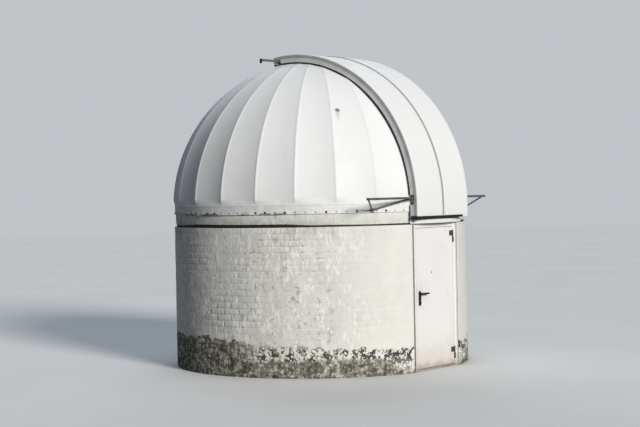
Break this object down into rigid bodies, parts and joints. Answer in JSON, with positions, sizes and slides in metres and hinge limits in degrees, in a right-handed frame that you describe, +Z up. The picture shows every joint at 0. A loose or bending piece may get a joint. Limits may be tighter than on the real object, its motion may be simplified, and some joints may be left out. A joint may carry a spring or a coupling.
{
  "type": "observatory dome",
  "caption": "Small round observatory: painted masonry wall with a steel door under a turning white dome of ridged gores, with a slit closed by two shutters that part sideways.",
  "frame": {"origin": "on the ground, on the axis that the dome turns about, at the level of the door's foot", "axes": "+Z up; -Y out through the door and the closed slit; +X to the right of someone who faces +Y"},
  "size_m": [4.1906, 4.2476, 4.3821],
  "materials": {
    "painted_masonry": "white masonry paint, weathered and flaking, with grey and green stains",
    "concrete": "rough cast concrete",
    "white_dome_shell": "white gel-coated laminate, slightly dulled",
    "weathered_skirt": "painted sheet with dirt, algae and rust runs",
    "galvanised_steel": "dull galvanised steel",
    "door_paint": "off-white paint, satin",
    "black_fittings": "black, satin",
    "seam_seal": "grey weather strip"
  },
  "bodies": {
    "building": {"floor_slab": "concrete", "door_sill": "concrete", "wall_segment_1": "painted_masonry", "wall_segment_2": "painted_masonry", "wall_segment_3": "painted_masonry", "wall_segment_4": "painted_masonry", "wall_segment_5": "painted_masonry", "wall_segment_6": "painted_masonry", "door_lintel": "concrete", "door_frame": "door_paint", "roller_plate": "galvanised_steel"},
    "dome": {"base_ring": "galvanised_steel", "skirt_front": "weathered_skirt", "skirt_right": "weathered_skirt", "skirt_back": "weathered_skirt", "skirt_left": "weathered_skirt", "dome_panel_1": "white_dome_shell", "dome_panel_2": "white_dome_shell", "dome_panel_3": "white_dome_shell", "dome_panel_4": "white_dome_shell", "dome_panel_5": "white_dome_shell", "dome_panel_6": "white_dome_shell", "dome_panel_7": "white_dome_shell", "dome_panel_8": "white_dome_shell", "dome_panel_9": "white_dome_shell", "dome_panel_10": "white_dome_shell", "dome_panel_11": "white_dome_shell", "slit_rib_left": "white_dome_shell", "slit_rib_right": "white_dome_shell", "slit_sill": "white_dome_shell", "slit_header": "white_dome_shell", "lower_rail": "galvanised_steel", "upper_rail": "galvanised_steel", "rail_bracket_left": "galvanised_steel", "rail_bracket_right": "galvanised_steel"},
    "left_shutter": {"left_shutter_skin": "white_dome_shell", "left_shutter_frame": "white_dome_shell"},
    "right_shutter": {"right_shutter_skin": "white_dome_shell", "right_shutter_frame": "white_dome_shell", "shutter_seam_strip": "seam_seal"},
    "door": {"door_leaf": "door_paint", "upper_hinge": "galvanised_steel", "lower_hinge": "galvanised_steel", "handle_plate": "black_fittings"},
    "lever": {"lever_handle": "black_fittings"}
  },
  "joints": [
    {"name": "dome_turn", "type": "hinge", "parent": "building", "child": "dome", "pos_m": [0, 0, 0], "axis": [0, 0, 1], "continuous": true},
    {"name": "left_shutter_slide", "type": "slide", "parent": "dome", "child": "left_shutter", "axis": [-1, 0, 0], "range_m": [0, 0.5]},
    {"name": "right_shutter_slide", "type": "slide", "parent": "dome", "child": "right_shutter", "axis": [1, 0, 0], "range_m": [0, 0.5]},
    {"name": "door_swing", "type": "hinge", "parent": "building", "child": "door", "pos_m": [0.4175, -2.01, 0], "axis": [0, 0, 1], "range_deg": [0, 110]},
    {"name": "lever_turn", "type": "hinge", "parent": "door", "child": "lever", "pos_m": [-0.385, -2, 1.045], "axis": [0, 1, 0], "range_deg": [0, 40], "stiffness_Nm_per_rad": 2, "springref_deg": -17.19}
  ]
}
